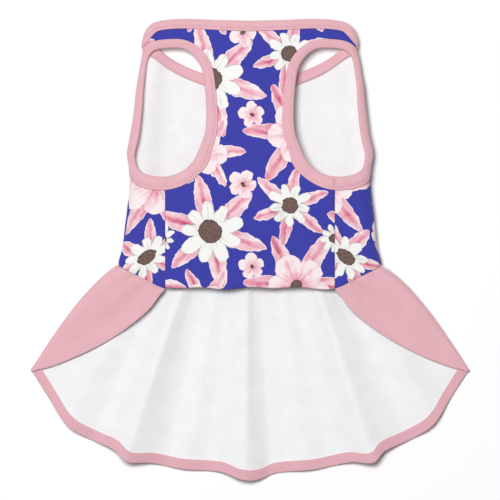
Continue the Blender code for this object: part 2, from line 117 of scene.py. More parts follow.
# Leg opening from its top towards the belly centre and round: share of its width from the side fold,
# share of its length from its top
ARMHOLE_DEPTH = 25.2 * MM
ARMHOLE_LENGTH = 109.8 * MM
ARMHOLE_WIDTH = 60.5 * MM
ARMHOLE_INSET = 8.4 * MM
ARMHOLE_TOP_Y = NECK_Y - ARMHOLE_DEPTH
ARMHOLE_EDGE = (
    (0.290, 0.000),
    (0.500, 0.006),
    (0.670, 0.065),
    (0.825, 0.180),
    (0.940, 0.370),
    (1.000, 0.595),
    (0.980, 0.735),
    (0.913, 0.850),
    (0.707, 0.957),
    (0.484, 1.000),
    (0.228, 0.988),
    (0.065, 0.937),
    (0.044, 0.867),
    (0.070, 0.727),
    (0.066, 0.493),
    (0.026, 0.260),
    (0.000, 0.104),
    (0.093, 0.022),
)

# Places round that opening, counted in rows of its table, that face the seams and edges round it
FACES_SIDE_SEAM = 9.1
FACES_BELLY_EDGE = 7.3
FACES_BELLY_NECK = 1.6
FACES_SHOULDER = -1.7
YOKE_DEPTH = 21.0 * MM
YOKE_Y = ARMHOLE_TOP_Y - ARMHOLE_LENGTH - YOKE_DEPTH
SHOULDER_DROP = 0.4
NECK_BINDING_SIDE = 8.1 * MM
BINDING_WALL = 0.8 * MM
BINDING_GAP = 0.6 * MM
SEWN_DEPTH = 2.2 * MM

# Turned-in lower edge
BELLY_TURN_IN = 9.0 * MM
BELLY_TURN_RADIUS = 1.25 * MM

# Small shapes of the cloth: waves where it lies loose, puckers and dips along the seams
LONG_WAVE = 0.9 * MM
LONG_WAVES_PER_METRE = 26.0
SHORT_WAVE = 0.35 * MM
SHORT_WAVES_PER_METRE = 75.0
SEAM_PUCKER = 0.3 * MM
SEAM_PUCKER_REACH = 5.0 * MM
WAIST_GATHER = 0.5 * MM
WAIST_GATHER_REACH = 8.0 * MM
SIDE_SEAM_DIP = 0.8 * MM
WAIST_SEAM_DIP = 0.9 * MM
DIP_REACH = 1.1 * MM

# Faces of the belly panel's mesh
YOKE_COLUMNS = 30
CENTRE_ROWS = 60
NECK_COLUMNS = 48
NECK_SPREAD = 1.8
BELLY_RAY_STEPS = 28
LOWER_ROWS = 26
EDGE_TURN_STEPS = 6
EDGE_INNER_STEPS = 4


def mix(first, second, share):
    """Value or vector part of the way from the first to the second."""
    return first + (second - first) * share


def eased(share):
    """Share between 0 and 1 that starts and ends gently."""
    share = min(max(share, 0.0), 1.0)
    return share * share * (3.0 - 2.0 * share)


def near(distance, reach):
    """1 at no distance, fading to 0 beyond the reach."""
    return math.exp(-((distance / reach) ** 2))


def hermite(start, end, start_slope, end_slope, share):
    """Cubic from start to end, with slopes given over the whole step."""
    rest = 1.0 - share
    return (
        start * rest * rest * (1.0 + 2.0 * share)
        + start_slope * share * rest * rest
        + end * share * share * (3.0 - 2.0 * share)
        - end_slope * share * share * rest
    )


def table_slope(rows, index, column):
    """Slope of a column at a row, from the rows beside it."""
    before = rows[max(index - 1, 0)]
    after = rows[min(index + 1, len(rows) - 1)]
    return (after[column] - before[column]) / (after[0] - before[0])


def read_table(rows, place, column):
    """Smooth value of a column where the first column equals place."""
    place = min(max(place, rows[0][0]), rows[-1][0])
    index = 0
    while index < len(rows) - 2 and rows[index + 1][0] < place:
        index += 1
    step = rows[index + 1][0] - rows[index][0]
    return hermite(
        rows[index][column],
        rows[index + 1][column],
        table_slope(rows, index, column) * step,
        table_slope(rows, index + 1, column) * step,
        (place - rows[index][0]) / step,
    )


def read_loop(rows, place, column):
    """Smooth value of a column of a closed table, at place counted in rows."""
    count = len(rows)
    index = math.floor(place)
    values = [rows[(index + step) % count][column] for step in (-1, 0, 1, 2)]
    start_slope = (values[2] - values[0]) / 2
    end_slope = (values[3] - values[1]) / 2
    return hermite(values[1], values[2], start_slope, end_slope, place - index)


def half_width(y):
    """Half the width of the lying body at a height."""
    return WAIST_HALF_WIDTH * read_table(BODY_SECTIONS, (NECK_Y - y) / BODY_LENGTH, 1)


def body_height(y):
    """Height of the lying body above the floor at a height on the dress."""
    return BODY_HEIGHT * read_table(BODY_SECTIONS, (NECK_Y - y) / BODY_LENGTH, 2)


def turn_length(y):
    """Cloth from the side fold to where the panel lies flat."""
    return FOLD_TURN * body_height(y) * math.pi / 2


def half_girth(y):
    """Cloth from the side fold to the belly centre, or to the back centre."""
    return half_width(y) + turn_length(y) * (1.0 - 2.0 / math.pi)


def waist_seam(along):
    """Height of the seam between the back panel and the skirt."""
    fold_y = BELLY_EDGE_Y + WAIST_RISE
    return fold_y - WAIST_RISE * read_table(WAIST_SEAM, along / half_girth(fold_y), 1)


def soft_creases(side, along, y):
    """Height of the shallow waves of cloth that lies loose, and of the dips along its seams."""
    place = Vector((side * (half_girth(y) - abs(along)), y, math.copysign(0.2, along)))
    waves = LONG_WAVE * noise.noise(place * LONG_WAVES_PER_METRE)
    waves += SHORT_WAVE * noise.noise(place * SHORT_WAVES_PER_METRE)
    side_seam = abs(along - SIDE_SEAM_REACH + half_girth(y))
    sewn = eased((ARMHOLE_TOP_Y - ARMHOLE_LENGTH * 0.6 - y) / (10.0 * MM))
    puckers = SEAM_PUCKER * noise.noise(Vector((side * 3.0, y * 210.0, 0.0)))
    puckers *= near(side_seam, SEAM_PUCKER_REACH)
    dip = -SIDE_SEAM_DIP * near(side_seam, DIP_REACH) * sewn
    if along > SIDE_SEAM_REACH - half_girth(y):
        waist = y - waist_seam(along)
        dip -= WAIST_SEAM_DIP * near(waist, DIP_REACH)
        gathers = noise.noise(Vector((along * 190.0, side * 5.0, 0.0)))
        puckers += WAIST_GATHER * gathers * near(waist, WAIST_GATHER_REACH)
    return waves + puckers + dip


def body_surface(side, along, y):
    """Outer face of the body at a pattern place, on the right side for 1 and the left for -1."""
    width = half_width(y)
    height = body_height(y)
    radius = FOLD_TURN * height
    turn = min(abs(along) / radius, math.pi / 2)
    flat = max(abs(along) - turn_length(y), 0.0)
    x = width - radius + radius * math.cos(turn) - flat
    level = FOLD_LEVEL * height
    creases = soft_creases(side, along, y)
    if along <= 0.0:
        rise = (1.0 - FOLD_LEVEL - CROWN) * height
        crown = CROWN * height * (1.0 - (x / width) ** 2)
        z = level + rise * math.sin(turn) + crown + creases * math.sin(turn)
    else:
        edge_y = NECK_Y - NECK_DROP * read_table(NECK_EDGE, along / half_girth(y), 1)
        under = eased(1.0 - (edge_y - y - NECK_BINDING_SIDE) / (3 * NECK_BINDING_SIDE))
        lift = (BINDING_WALL + BINDING_GAP) * under + SIDE_LIFT * near(flat, SIDE_LIFT_REACH)
        z = mix(level, lift, math.sin(turn)) + abs(creases) * math.sin(turn)
    return Vector((side * (x + creases * math.cos(turn)), y, z))


def body_point(side, along, y, outward=0.0):
    """Point at a distance out from the body's outer face."""
    point = body_surface(side, along, y)
    if outward == 0.0:
        return point
    probe = 0.3 * MM
    across = body_surface(side, along + probe, y) - body_surface(side, along - probe, y)
    up = body_surface(side, along, y + probe) - body_surface(side, along, y - probe)
    if abs(abs(along) - half_girth(y)) < probe:
        across = Vector((-side * math.copysign(1.0, along), 0.0, 0.0))
        up.x = 0.0
    return point + side * across.cross(up).normalized() * outward


def armhole_edge(place, offset=0.0):
    """Pattern place on the leg opening, or at an offset out into the cloth round it."""

    def edge(at):
        """Pattern place on the opening itself."""
        across = read_loop(ARMHOLE_EDGE, at, 0)
        down = read_loop(ARMHOLE_EDGE, at, 1)
        along = -(ARMHOLE_INSET + across * ARMHOLE_WIDTH)
        return Vector((along, ARMHOLE_TOP_Y - down * ARMHOLE_LENGTH))

    tangent = (edge(place + 0.05) - edge(place - 0.05)).normalized()
    return edge(place) + Vector((tangent.y, -tangent.x)) * offset


def neck_place(share, offset=0.0):
    """Pattern place on the neck edge, from the belly centre -1 to the back centre 1."""

    def edge(at):
        """Pattern place on the neck edge itself."""
        y = NECK_Y - NECK_DROP * read_table(NECK_EDGE, at, 1)
        return Vector((at * half_girth(y), y))

    tangent = Vector((1.0, 0.0))
    if abs(share) < 1.0:
        tangent = (edge(share + 0.004) - edge(share - 0.004)).normalized()
    place = edge(share) + Vector((tangent.y, -tangent.x)) * offset
    if abs(share) == 1.0:
        place.x = share * half_girth(place.y)
    return place


def steps(start, end, count):
    """Evenly spaced values from start up to, and not including, end."""
    return [mix(start, end, index / count) for index in range(count)]


def line(start, end, count):
    """Evenly spaced places from start to end, both included."""
    return [mix(start, end, index / count) for index in range(count + 1)]


def moved_towards(places, others, distance):
    """Each place moved a distance towards the place beside it."""
    return [place + (other - place).normalized() * distance for place, other in zip(places, others)]


BELLY_CENTRE, SIDE_SEAM, TURN_IN, TURN_OUT, BACK_CENTRE = range(5)


def region_place(region, y):
    """Pattern place at a height, for a region border and a share of the way to the next border."""
    border, share = region
    borders = (
        -half_girth(y),
        SIDE_SEAM_REACH - half_girth(y),
        -turn_length(y),
        turn_length(y),
        half_girth(y),
    )
    after = min(border + 1, len(borders) - 1)
    return Vector((mix(borders[border], borders[after], share), y))


def rays(openings, outer, count):
    """Rows of pattern places from the leg opening's sewn edge out to the border round it."""
    return [line(armhole_edge(at, SEWN_DEPTH), place, count) for at, place in zip(openings, outer)]


def shoulder_share():
    """Place on the neck edge where the side fold has turned onto the back: the shoulder seam."""
    level = NECK_Y - NECK_DROP * SHOULDER_DROP
    return turn_length(level) / half_girth(level)


def apply_modifiers(thing):
    """Apply every modifier of an object, in order."""
    bpy.ops.object.select_all(action="DESELECT")
    thing.select_set(True)
    bpy.context.view_layer.objects.active = thing
    for modifier in list(thing.modifiers):
        bpy.ops.object.modifier_apply(modifier=modifier.name)
    thing.select_set(False)


def cloth_mesh(name, grids, materials, closed=False):
    """Sheet of cloth from grids of corners, each a point and its place on the cloth in metres."""
    shape = bmesh.new()
    pattern = shape.loops.layers.uv.new("pattern")
    for grid in grids:
        corners = [[(shape.verts.new(point), place) for point, place in row] for row in grid]
        for before, after in zip(corners, corners[1:]):
            for b in range(len(before) - 1):
                around = (before[b], after[b], after[b + 1], before[b + 1])
                face = shape.faces.new([corner for corner, _ in around])
                face.smooth = True
                for loop, (_, place) in zip(face.loops, around):
                    loop[pattern].uv = place
    bmesh.ops.remove_doubles(shape, verts=shape.verts, dist=0.01 * MM)
    if closed:
        bmesh.ops.recalc_face_normals(shape, faces=shape.faces)
    mesh = bpy.data.meshes.new(name)
    shape.to_mesh(mesh)
    shape.free()
    for material in materials:
        mesh.materials.append(material)
    thing = bpy.data.objects.new(name, mesh)
    bpy.context.scene.collection.objects.link(thing)
    return thing


def give_wall(thing, thickness, inner_material=0):
    """Thicken an open sheet inwards from its outer face, with its own material on the inner face."""
    wall = thing.modifiers.new("Wall", "SOLIDIFY")
    wall.thickness = thickness
    wall.offset = -1.0
    wall.material_offset = inner_material
    apply_modifiers(thing)
    thing.data.set_sharp_from_angle(angle=math.radians(60))


def both_sides(pattern_grids, point, place):
    """Grids of cloth corners for both halves of the dress, from the pattern grids of one half."""
    grids = []
    for side in (1, -1):
        for grid in pattern_grids:
            rows = [[(point(side, at), place(side, at)) for at in row] for row in grid]
            grids.append(rows if side == 1 else rows[::-1])
    return grids


class Field:
    """A value in a material's nodes. Arithmetic on it adds Math nodes."""

    def __init__(self, tree, socket):
        self.tree = tree
        self.socket = socket

    def math(self, operation, *others):
        """Field from a Math node that takes this one first."""
        node = self.tree.nodes.new("ShaderNodeMath")
        node.operation = operation
        for socket, value in zip(node.inputs, (self, *others)):
            feed(self.tree, socket, value)
        return Field(self.tree, node.outputs[0])

    def __add__(self, other):
        return self.math("ADD", other)

    def __sub__(self, other):
        return self.math("SUBTRACT", other)

    def __mul__(self, other):
        return self.math("MULTIPLY", other)

    def __truediv__(self, other):
        return self.math("DIVIDE", other)

    def ramp(self, low, high):
        """0 up to low and 1 from high on, eased between them."""
        node = self.tree.nodes.new("ShaderNodeMapRange")
        node.interpolation_type = "SMOOTHSTEP"
        feed(self.tree, node.inputs["Value"], self)
        node.inputs["From Min"].default_value = low
        node.inputs["From Max"].default_value = high
        return Field(self.tree, node.outputs[0])


def feed(tree, socket, value):
    """Give a socket a field, another socket or a plain value."""
    if isinstance(value, Field):
        value = value.socket
    if isinstance(value, bpy.types.NodeSocket):
        tree.links.new(value, socket)
    else:
        socket.default_value = value


def vector_math(tree, operation, *values):
    """Vector Math node fed with values."""
    node = tree.nodes.new("ShaderNodeVectorMath")
    node.operation = operation
    sockets = [socket for socket in node.inputs if socket.enabled]
    for socket, value in zip(sockets, values):
        feed(tree, socket, value)
    return node


def cloth_place(tree):
    """Place on the cloth, from the piece's own UV map, in millimetres."""
    uv = tree.nodes.new("ShaderNodeUVMap")
    uv.uv_map = "pattern"
    scaled = tree.nodes.new("ShaderNodeMapping")
    scaled.inputs["Scale"].default_value = (1.0 / MM, 1.0 / MM, 1.0 / MM)
    feed(tree, scaled.inputs["Vector"], uv.outputs["UV"])
    return scaled.outputs["Vector"]


def mottle(tree, vector, size, detail=2.0):
    """Soft noise from 0 to 1 with blotches of a size in millimetres."""
    node = tree.nodes.new("ShaderNodeTexNoise")
    node.inputs["Scale"].default_value = 1.0 / size
    node.inputs["Detail"].default_value = detail
    feed(tree, node.inputs["Vector"], vector)
    return Field(tree, node.outputs["Fac"])


def mixed_colour(tree, share, first, second):
    """Colour part of the way from the first to the second."""
    node = tree.nodes.new("ShaderNodeMix")
    node.data_type = "RGBA"
    feed(tree, node.inputs[0], share)
    feed(tree, node.inputs[6], first)
    feed(tree, node.inputs[7], second)
    return node.outputs[2]


def tone_colours(tree, tone, colours):
    """Colour from a tone between 0 and 1, through colours evenly spaced."""
    node = tree.nodes.new("ShaderNodeValToRGB")
    stops = node.color_ramp.elements
    for index in range(len(colours) - 2):
        stops.new(0.5)
    for index, colour in enumerate(colours):
        stops[index].position = index / (len(colours) - 1)
        stops[index].color = colour
    feed(tree, node.inputs["Fac"], tone)
    return node.outputs["Color"]


def new_group(name, inputs, outputs):
    """Empty node group, with its input node's and output node's sockets."""
    group = bpy.data.node_groups.new(name, "ShaderNodeTree")
    for label, kind in inputs:
        group.interface.new_socket(name=label, in_out="INPUT", socket_type="NodeSocket" + kind)
    for label, kind in outputs:
        group.interface.new_socket(name=label, in_out="OUTPUT", socket_type="NodeSocket" + kind)
    entry = group.nodes.new("NodeGroupInput").outputs
    leaving = group.nodes.new("NodeGroupOutput").inputs
    return group, entry, leaving


def use_group(tree, group, values):
    """Outputs of a node group that is fed with values by name."""
    node = tree.nodes.new("ShaderNodeGroup")
    node.node_tree = group
    for label, value in values.items():
        feed(tree, node.inputs[label], value)
    return node.outputs


# Printed repeat, and how far the painted outlines tremble, in millimetres
REPEAT = (148.0, 130.0, 1000.0)
TREMBLE = (4.0, 4.0, 0.0)


def make_petals_group():
    """Ring of petals round a middle: how far inside a petal a place is, and where on that petal."""
    inputs = [("Place", "Vector"), ("Middle", "Vector"), ("Radius", "Float"), ("Count", "Float")]
    inputs += [("Width", "Float"), ("Tip", "Float"), ("Turn", "Float")]
    outputs = [("Inside", "Float"), ("Along", "Float"), ("Across", "Float"), ("Petal", "Float")]
    outputs += [("Reach", "Float"), ("Brushed", "Vector")]
    group, entry, leaving = new_group("petal ring", inputs, outputs)
    tremble = group.nodes.new("ShaderNodeTexNoise")
    tremble.inputs["Scale"].default_value = 0.16
    feed(group, tremble.inputs["Vector"], entry["Place"])
    shake = vector_math(group, "SUBTRACT", tremble.outputs["Color"], (0.5, 0.5, 0.5)).outputs[0]
    shake = vector_math(group, "MULTIPLY", shake, TREMBLE).outputs[0]
    from_middle = vector_math(group, "SUBTRACT", entry["Place"], entry["Middle"]).outputs[0]
    half = tuple(size / 2 for size in REPEAT)
    wrapped = vector_math(group, "WRAP", from_middle, half, tuple(-size for size in half)).outputs[0]
    local = vector_math(group, "ADD", wrapped, shake).outputs[0]
    parts = group.nodes.new("ShaderNodeSeparateXYZ")
    feed(group, parts.inputs[0], local)
    x = Field(group, parts.outputs[0])
    y = Field(group, parts.outputs[1])
    reach = (x * x + y * y).math("SQRT")
    count = Field(group, entry["Count"])
    sector = (y.math("ARCTAN2", x) + Field(group, entry["Turn"])) * count / (2 * math.pi)
    petal = sector.math("ROUND")
    across = (sector - petal) * 2.0
    number = petal.math("FLOORED_MODULO", count) + Field(group, entry["Radius"])
    chance = (number * 12.9898).math("SINE").math("MULTIPLY", 43.7).math("FRACT")
    radius = Field(group, entry["Radius"]) * (chance * 0.22 + 0.80)
    along = (reach / radius).math("MINIMUM", 1.0)
    shape = along.math("POWER", 0.6) * (along * -1.0 + 1.0).math("POWER", Field(group, entry["Tip"]))
    half_petal = shape * radius * Field(group, entry["Width"])
    side_way = reach * across.math("ABSOLUTE") * math.pi / count
    brushed = group.nodes.new("ShaderNodeCombineXYZ")
    feed(group, brushed.inputs[0], across * 3.2 + number * 7.0)
    feed(group, brushed.inputs[1], along * 0.8)
    feed(group, leaving["Inside"], half_petal - side_way)
    feed(group, leaving["Along"], along)
    feed(group, leaving["Across"], across)
    feed(group, leaving["Petal"], chance)
    feed(group, leaving["Reach"], reach)
    feed(group, leaving["Brushed"], brushed.outputs[0])
    return group


PETAL_RING = make_petals_group()
DEEP_ROSE = (0.330, 0.020, 0.075, 1.0)
ROSE = (0.560, 0.085, 0.190, 1.0)
WARM_PINK = (0.760, 0.300, 0.390, 1.0)
PALE_PINK = (0.840, 0.520, 0.580, 1.0)
BLUSH = (0.910, 0.790, 0.800, 1.0)
PETAL_WHITE = (0.880, 0.880, 0.860, 1.0)
PETAL_SHADE = (0.640, 0.620, 0.590, 1.0)
SEED_BROWN = (0.156, 0.096, 0.082, 1.0)
SEED_DARK = (0.035, 0.020, 0.018, 1.0)
SEED_LIGHT = (0.300, 0.215, 0.185, 1.0)


def make_painted_group(name, count, width, tip, colours, vein, shade_at_heart, rim, heart):
    """Painted flower or spray over a ground colour, with brush marks, veins and a darker outline."""
    inputs = [("Ground", "Color"), ("Place", "Vector"), ("Middle", "Vector"), ("Radius", "Float")]
    group, entry, leaving = new_group(name, inputs + [("Turn", "Float")], [("Colour", "Color")])
    ring = use_group(group, PETAL_RING, {
        "Place": entry["Place"], "Middle": entry["Middle"], "Radius": entry["Radius"],
        "Count": count, "Width": width, "Tip": tip, "Turn": entry["Turn"],
    })
    inside = Field(group, ring["Inside"])
    along = Field(group, ring["Along"])
    across = Field(group, ring["Across"])
    wash = mottle(group, entry["Place"], 10.0, 3.0)
    strokes = mottle(group, ring["Brushed"], 1.0, 2.0)
    vein_line = across.math("ABSOLUTE").ramp(0.02, 0.20)
    tone = wash * 0.75 + strokes * 0.85 + Field(group, ring["Petal"]) * 0.18 - 0.22
    tone = tone + along.ramp(0.0, 1.0) * shade_at_heart - shade_at_heart * 0.6
    tone = tone + vein_line * vein - vein + inside.ramp(1.5, 0.2) * rim
    painted = tone_colours(group, tone, colours)
    colour = mixed_colour(group, inside.ramp(0.0, 0.5), entry["Ground"], painted)
    if heart:
        reach = Field(group, ring["Reach"])
        size = Field(group, entry["Radius"]) * heart
        depth = (size - reach) + (mottle(group, entry["Place"], 2.2) - 0.5) * 1.6
        seeds = mottle(group, entry["Place"], 1.3, 3.0) * 1.3 - 0.15 - depth.ramp(1.6, 0.0) * 0.5
        seed_colour = tone_colours(group, seeds, (SEED_DARK, SEED_BROWN, SEED_LIGHT))
        colour = mixed_colour(group, depth.ramp(0.0, 0.5), colour, seed_colour)
    feed(group, leaving["Colour"], colour)
    return group


LEAVES = make_painted_group(
    "rose leaves", count=6.0, width=0.37, tip=0.62,
    colours=(DEEP_ROSE, ROSE, WARM_PINK, PALE_PINK, BLUSH),
    vein=0.30, shade_at_heart=0.40, rim=0.45, heart=0.0)
BLOSSOM = make_painted_group(
    "pink blossom", count=5.0, width=0.86, tip=0.30,
    colours=(ROSE, WARM_PINK, PALE_PINK, BLUSH, BLUSH),
    vein=0.12, shade_at_heart=0.50, rim=-0.30, heart=0.17)
DAISY = make_painted_group(
    "white daisy", count=9.0, width=0.42, tip=0.34,
    colours=(SEED_BROWN, PETAL_SHADE, PETAL_WHITE, PETAL_WHITE),
    vein=0.08, shade_at_heart=0.2, rim=-0.5, heart=0.36)

# Flowers of one repeat, in millimetres: motif, middle, radius, turn
PRINTED_FLOWERS = (
    (LEAVES, (-34.0, 16.0, 0.0), 50.0, 0.3),
    (LEAVES, (40.0, -30.0, 0.0), 54.0, 1.1),
    (LEAVES, (34.0, 38.0, 0.0), 37.0, 0.7),
    (LEAVES, (-38.0, -46.0, 0.0), 35.0, 0.0),
    (DAISY, (-34.0, 16.0, 0.0), 29.0, 0.4),
    (BLOSSOM, (40.0, -30.0, 0.0), 30.0, 0.5),
    (DAISY, (34.0, 38.0, 0.0), 20.0, 0.9),
    (BLOSSOM, (-38.0, -46.0, 0.0), 20.0, 0.2),
    (DAISY, (72.0, 10.0, 0.0), 13.0, 0.2),
    (BLOSSOM, (2.0, -14.0, 0.0), 12.0, 0.8),
    (BLOSSOM, (-6.0, 56.0, 0.0), 13.0, 0.1),
)
PRINT_BLUE = (0.038, 0.043, 0.345, 1.0)
PRINT_BLUE_WASH = (0.050, 0.052, 0.390, 1.0)
JERSEY_WHITE = (0.860, 0.860, 0.870, 1.0)


def knit_height(tree, place, wale):
    """Height of jersey stitches: rows of small slanting loops, mirrored in each wale."""
    parts = tree.nodes.new("ShaderNodeSeparateXYZ")
    feed(tree, parts.inputs[0], place)
    across = Field(tree, parts.outputs[0]) / wale
    up = Field(tree, parts.outputs[1]) / (wale * 0.8)
    from_wale = (across.math("FRACT") - 0.5).math("ABSOLUTE")
    loops = ((up + from_wale * 1.5) * (2 * math.pi)).math("SINE")
    furrow = from_wale.ramp(0.5, 0.30)
    return loops * 0.35 + furrow


def knit_material(name, colour, wale=1.1, roughness=0.86, sheen=0.25, bump=0.25, pattern=None):
    """Cloth of fine knit: a plain colour with slight variation, or a printed pattern, with painted shade in
    the furrows of its stitches.
    """
    material = bpy.data.materials.new(name)
    material.use_nodes = True
    tree = material.node_tree
    shader = tree.nodes["Principled BSDF"]
    shader.inputs["Sheen Weight"].default_value = sheen
    shader.inputs["Sheen Roughness"].default_value = 0.55
    shader.inputs["Specular IOR Level"].default_value = 0.22
    place = cloth_place(tree)
    if pattern:
        base = pattern(tree, place)
    else:
        cloudy = mottle(tree, place, 17.0, 3.0)
        darker = tuple(channel * 0.955 for channel in colour[:3]) + (1.0,)
        base = mixed_colour(tree, cloudy.ramp(0.25, 0.75), darker, colour)
    height = knit_height(tree, place, wale)
    grain = mottle(tree, place, 0.9, 3.0)
    # Painted shade in the knit: the colour is darkened where the stitches' loops and the furrows between
    # wales lie low, and varied at random by the grain.
    grain_and_stitch_shade = (height * 0.05 + grain * 0.10 + 0.90).math("MINIMUM", 1.0)
    colour_with_stitch_shade = tree.nodes.new("ShaderNodeMix")
    colour_with_stitch_shade.data_type = "RGBA"
    colour_with_stitch_shade.blend_type = "MULTIPLY"
    colour_with_stitch_shade.inputs[0].default_value = 1.0
    feed(tree, colour_with_stitch_shade.inputs[6], base)
    feed(tree, colour_with_stitch_shade.inputs[7], grain_and_stitch_shade)
    feed(tree, shader.inputs["Base Color"], colour_with_stitch_shade.outputs[2])
    feed(tree, shader.inputs["Roughness"], grain * 0.10 + (roughness - 0.05))
    relief = tree.nodes.new("ShaderNodeBump")
    relief.inputs["Strength"].default_value = bump
    relief.inputs["Distance"].default_value = 0.25 * MM
    feed(tree, relief.inputs["Height"], height + grain * 0.6)
    feed(tree, shader.inputs["Normal"], relief.outputs["Normal"])
    return material


def flower_print(tree, place):
    """Royal blue ground with painted flowers."""
    cloudy = mottle(tree, place, 30.0, 3.0)
    colour = mixed_colour(tree, cloudy, PRINT_BLUE, PRINT_BLUE_WASH)
    for motif, middle, radius, turn in PRINTED_FLOWERS:
        values = {"Ground": colour, "Place": place, "Middle": middle, "Radius": radius, "Turn": turn}
        colour = use_group(tree, motif, values)["Colour"]
    return colour


BELLY_PRINT = knit_material("belly_print_knit", PRINT_BLUE, sheen=0.06, pattern=flower_print)
WHITE_INSIDE = knit_material("white_jersey_back", JERSEY_WHITE, bump=0.18)


def belly_edge(across):
    """Height of the free edge at a distance from the belly centre; it waves a little."""
    return BELLY_EDGE_Y + 0.7 * MM * math.cos(across * 150.0) + 0.5 * MM * math.sin(across * 66.0)


def belly_lower_row(column, side):
    """Corners of one column below the leg opening, with the edge turned in at its end."""
    end_y = belly_edge(side * (half_girth(BELLY_EDGE_Y) + region_place(column, BELLY_EDGE_Y).x))
    row = [(region_place(column, y), 0.0) for y in line(YOKE_Y, end_y + BELLY_TURN_RADIUS, LOWER_ROWS)]
    for angle in line(0.0, math.pi, EDGE_TURN_STEPS)[1:]:
        y = end_y + BELLY_TURN_RADIUS * (1.0 - math.sin(angle))
        row.append((region_place(column, y), BELLY_TURN_RADIUS * (math.cos(angle) - 1.0)))
    for y in line(end_y + BELLY_TURN_RADIUS, end_y + BELLY_TURN_IN, EDGE_INNER_STEPS)[1:]:
        row.append((region_place(column, y), -2 * BELLY_TURN_RADIUS))
    return row


def belly_place(side, at):
    """Place on the printed cloth, measured from the belly centre."""
    return (side * (half_girth(at.y) + at.x), at.y)


def make_belly_panel():
    """Fan of cloth round each leg opening, with the plain cloth and the turned edge below it."""
    yoke_columns = [(BELLY_CENTRE, share) for share in steps(1.0, 0.0, YOKE_COLUMNS)]
    neck_y = neck_place(-1.0, SEWN_DEPTH).y
    outer = [region_place(column, YOKE_Y) for column in yoke_columns]
    outer += [region_place((BELLY_CENTRE, 0.0), y) for y in steps(YOKE_Y, neck_y, CENTRE_ROWS)]
    for index in range(NECK_COLUMNS + 1):
        from_shoulder = (1.0 - index / NECK_COLUMNS) ** NECK_SPREAD
        outer.append(neck_place(mix(shoulder_share(), -1.0, from_shoulder), SEWN_DEPTH))
    openings = steps(FACES_SIDE_SEAM, FACES_BELLY_EDGE, YOKE_COLUMNS)
    openings += steps(FACES_BELLY_EDGE, FACES_BELLY_NECK, CENTRE_ROWS)
    openings += line(FACES_BELLY_NECK, FACES_SHOULDER, NECK_COLUMNS)
    fan = rays(openings, outer, BELLY_RAY_STEPS)
    fan[0] = moved_towards(fan[0], fan[1], SEAM_GAP / 2)
    fan[-1] = moved_towards(fan[-1], fan[-2], SEAM_GAP / 2)
    grids = both_sides([fan], lambda side, at: body_point(side, at.x, at.y), belly_place)
    for side in (1, -1):
        rows = []
        for column in yoke_columns + [(BELLY_CENTRE, 0.0)]:
            row = belly_lower_row(column, side)
            if column[1] == 1.0:
                row = [(at - Vector((SEAM_GAP / 2, 0.0)), out) for at, out in row]
                row[0] = (fan[0][-1], 0.0)
            rows.append([(body_point(side, at.x, at.y, out), belly_place(side, at)) for at, out in row])
        grids.append(rows if side == 1 else rows[::-1])
    panel = cloth_mesh("belly_panel_cloth", grids, (BELLY_PRINT, WHITE_INSIDE))
    give_wall(panel, CLOTH_WALL, 1)
    return panel


belly_panel = make_belly_panel()
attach(belly_panel, "root")
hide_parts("belly_panel")


# Back panel. The far panel, of the same printed jersey with its white back facing up inside the dress. It
# wraps round both sides to the side seams, where the print jumps, and the skirt is sewn to its lower edge.

FACES_BACK_YOKE = -6.8
PRINT_SHIFT = Vector((31.0 * MM, 44.0 * MM))

# Faces of the back panel's mesh
BACK_ROUND_COLUMNS = 18
BACK_SIDE_COLUMNS = 12
BACK_SIDE_ROWS = 54
BACK_COLUMNS = 34
BACK_LOWER_ROWS = 28
BACK_RAY_STEPS = 12
BACK_PRINT = knit_material("back_print_knit", PRINT_BLUE, sheen=0.06, pattern=flower_print)


def back_place(side, at):
    """Place on the printed cloth, measured from the back centre, cut from another part of the repeat."""
    return (side * (half_girth(at.y) - at.x) + PRINT_SHIFT.x, at.y + PRINT_SHIFT.y)


